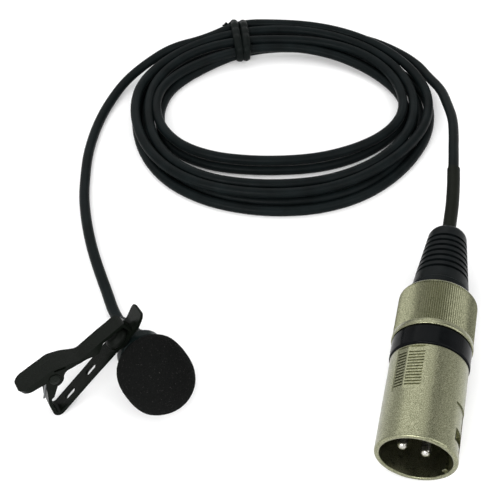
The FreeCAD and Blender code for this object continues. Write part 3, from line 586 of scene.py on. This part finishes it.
def board_lacquer(name):
    surface = Surface(name, Roughness=0.35)
    surface.tint(surface.ramp(surface.cells(0.7), 0.2, 0.5), (0.02, 0.12, 0.05), (0.05, 0.22, 0.1))
    return surface.material


def wire_insulation(name):
    surface = Surface(name, Roughness=0.4)
    surface.tint(surface.ramp(surface.grain(0.8), 0.3, 0.7), (0.42, 0.05, 0.04), (0.6, 0.1, 0.07))
    return surface.material


def make_materials():
    """A material for each slot of the record."""
    return {
        "clip_enamel": enamel("clip_enamel", (0.0034, 0.0046, 0.0033)),
        "pin_steel": metal("pin_steel", (0.012, 0.014, 0.012), 0.4, 0.01),
        "spring_steel": metal("spring_steel", (0.14, 0.145, 0.15), 0.3, 0.005),
        "holder_plastic": moulded("holder_plastic", (0.0045, 0.0055, 0.0045), 0.45),
        "mic_enamel": enamel("mic_enamel", (0.005, 0.009, 0.009), 0.26),
        "capsule_can": metal("capsule_can", (0.75, 0.75, 0.76), 0.25, 0.004),
        "gasket_rubber": moulded("gasket_rubber", (0.02, 0.02, 0.02), 0.7),
        "grille_metal": metal("grille_metal", (0.1, 0.1, 0.105), 0.4, 0.006),
        "board": board_lacquer("circuit_board"),
        "foam": open_foam("foam"),
        "cable_jacket": cable_jacket("cable_jacket"),
        "tie_plastic": moulded("tie_plastic", (0.0042, 0.0058, 0.0054), 0.42, 0.02, 0.4),
        "sleeve_plastic": moulded("sleeve_plastic", (0.006, 0.007, 0.005), 0.45, 0.02, 0.5),
        "shell_nickel": satin_nickel("shell_nickel"),
        "ring_plastic": moulded("ring_plastic", (0.0025, 0.003, 0.0034), 0.16, 0.002),
        "insert_plastic": speckled_insulator("insert_plastic"),
        "contact_silver": metal("contact_silver", (0.46, 0.45, 0.42), 0.26, 0.003),
        "core_insulation": wire_insulation("core_insulation"),
        "clamp_plastic": moulded("clamp_plastic", (0.02, 0.02, 0.02), 0.45),
        "boot_rubber": moulded("boot_rubber", (0.0042, 0.0055, 0.0058), 0.34, 0.008, shine=0.05),
    }


# Stage and light. The lamps' sizes and the floor's are in metres, their power in watts.

FLOOR_SIZE = 3.0
FLOOR_GREY = 0.86
FLOOR_LIFT = 0.16
ROOM_LIGHT = 0.52
BACKDROP_SIDES = 1.0
BACKDROP_TOP = 0.45
LIT_POINT = (20, 50, 5)


def add_lamp(name, spot, size, power):
    """Soft rectangular lamp that is turned to the middle of the object."""
    data = bpy.data.lights.new(name, "AREA")
    data.shape = "RECTANGLE"
    data.size, data.size_y = size
    data.energy = power
    lamp = bpy.data.objects.new(name, data)
    lamp.location = on_table(*spot)
    heading = on_table(*LIT_POINT) - lamp.location
    lamp.rotation_euler = heading.to_track_quat("-Z", "Y").to_euler()
    bpy.context.scene.collection.objects.link(lamp)


def seen_directly(tree):
    """1 for rays that show the background to the eye, straight or mirrored."""
    path = tree.nodes.new("ShaderNodeLightPath")
    value = path.outputs["Is Camera Ray"]
    for name in ("Is Glossy Ray", "Is Transmission Ray"):
        add = tree.nodes.new("ShaderNodeMath")
        add.operation = "MAXIMUM"
        tree.links.new(value, add.inputs[0])
        tree.links.new(path.outputs[name], add.inputs[1])
        value = add.outputs[0]
    return value


def add_floor():
    """Pale floor that looks white where it is lit and keeps the object's shadow."""
    def build(work):
        bmesh.ops.create_grid(work, x_segments=1, y_segments=1, size=FLOOR_SIZE)

    floor = add_mesh("floor", build, smooth=False)
    floor.location = (0, 0, -FLOOR_GAP)
    material = bpy.data.materials.new("floor")
    material.use_nodes = True
    tree = material.node_tree
    shader = tree.nodes["Principled BSDF"]
    shader.inputs["Base Color"].default_value = (FLOOR_GREY, FLOOR_GREY, FLOOR_GREY, 1)
    shader.inputs["Roughness"].default_value = 0.9
    shader.inputs["Specular IOR Level"].default_value = 0.1
    shader.inputs["Emission Color"].default_value = (1, 1, 1, 1)
    lift = tree.nodes.new("ShaderNodeMath")
    lift.operation = "MULTIPLY"
    lift.inputs[1].default_value = FLOOR_LIFT
    tree.links.new(seen_directly(tree), lift.inputs[0])
    tree.links.new(lift.outputs[0], shader.inputs["Emission Strength"])
    floor.data.materials.append(material)


def add_world():
    """Even light in the room, and a backdrop that looks white at the sides and greyer overhead."""
    world = bpy.data.worlds.new("studio")
    bpy.context.scene.world = world
    world.use_nodes = True
    tree = world.node_tree
    background = tree.nodes["Background"]
    background.inputs["Color"].default_value = (1, 1, 1, 1)
    level = tree.nodes.new("ShaderNodeMapRange")
    level.inputs["To Min"].default_value = ROOM_LIGHT
    tree.links.new(seen_directly(tree), level.inputs["Value"])
    height = tree.nodes.new("ShaderNodeSeparateXYZ")
    tree.links.new(tree.nodes.new("ShaderNodeTexCoord").outputs["Generated"], height.inputs[0])
    backdrop = tree.nodes.new("ShaderNodeMapRange")
    backdrop.inputs["From Min"].default_value = 0.35
    backdrop.inputs["From Max"].default_value = 0.85
    backdrop.inputs["To Min"].default_value = BACKDROP_SIDES
    backdrop.inputs["To Max"].default_value = BACKDROP_TOP
    tree.links.new(height.outputs["Z"], backdrop.inputs["Value"])
    tree.links.new(backdrop.outputs["Result"], level.inputs["To Max"])
    tree.links.new(level.outputs["Result"], background.inputs["Strength"])


def light_scene():
    bpy.context.scene.view_settings.view_transform = "Standard"
    add_lamp("key", (-160, 260, 420), (0.66, 0.55), 1.5)
    add_lamp("fill", (330, -60, 300), (0.3, 0.45), 1.0)
    add_lamp("front", (-60, -330, 260), (0.3, 0.2), 1.6)


# Putting it together


def finish_nodes(materials):
    """Gives each CAD node the material of its slot."""
    for entry in frame["record"]["subparts"]:
        node = frame["nodes"][entry["node"]]
        node.data.materials.clear()
        node.data.materials.append(materials[entry["material_slot"]])


def dress(piece, materials, slot, body, *nodes):
    """Gives a new piece its slot's material and its body, and hides the CAD nodes that it stands for."""
    piece.data.materials.append(materials[slot])
    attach(piece, body)
    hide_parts(*nodes)
    return piece


def main():
    add_camera()
    materials = make_materials()
    finish_nodes(materials)

    cable, cable_exit = make_cable()
    dress(cable, materials, "cable_jacket", "root", "mic_lead", "cable_coil", "plug_lead")
    tie = dress(make_tie(), materials, "tie_plastic", "root", "twist_tie")

    foam = dress(make_foam(), materials, "foam", "windscreen", "foam_windscreen")

    add_floor()
    add_world()
    light_scene()


main()
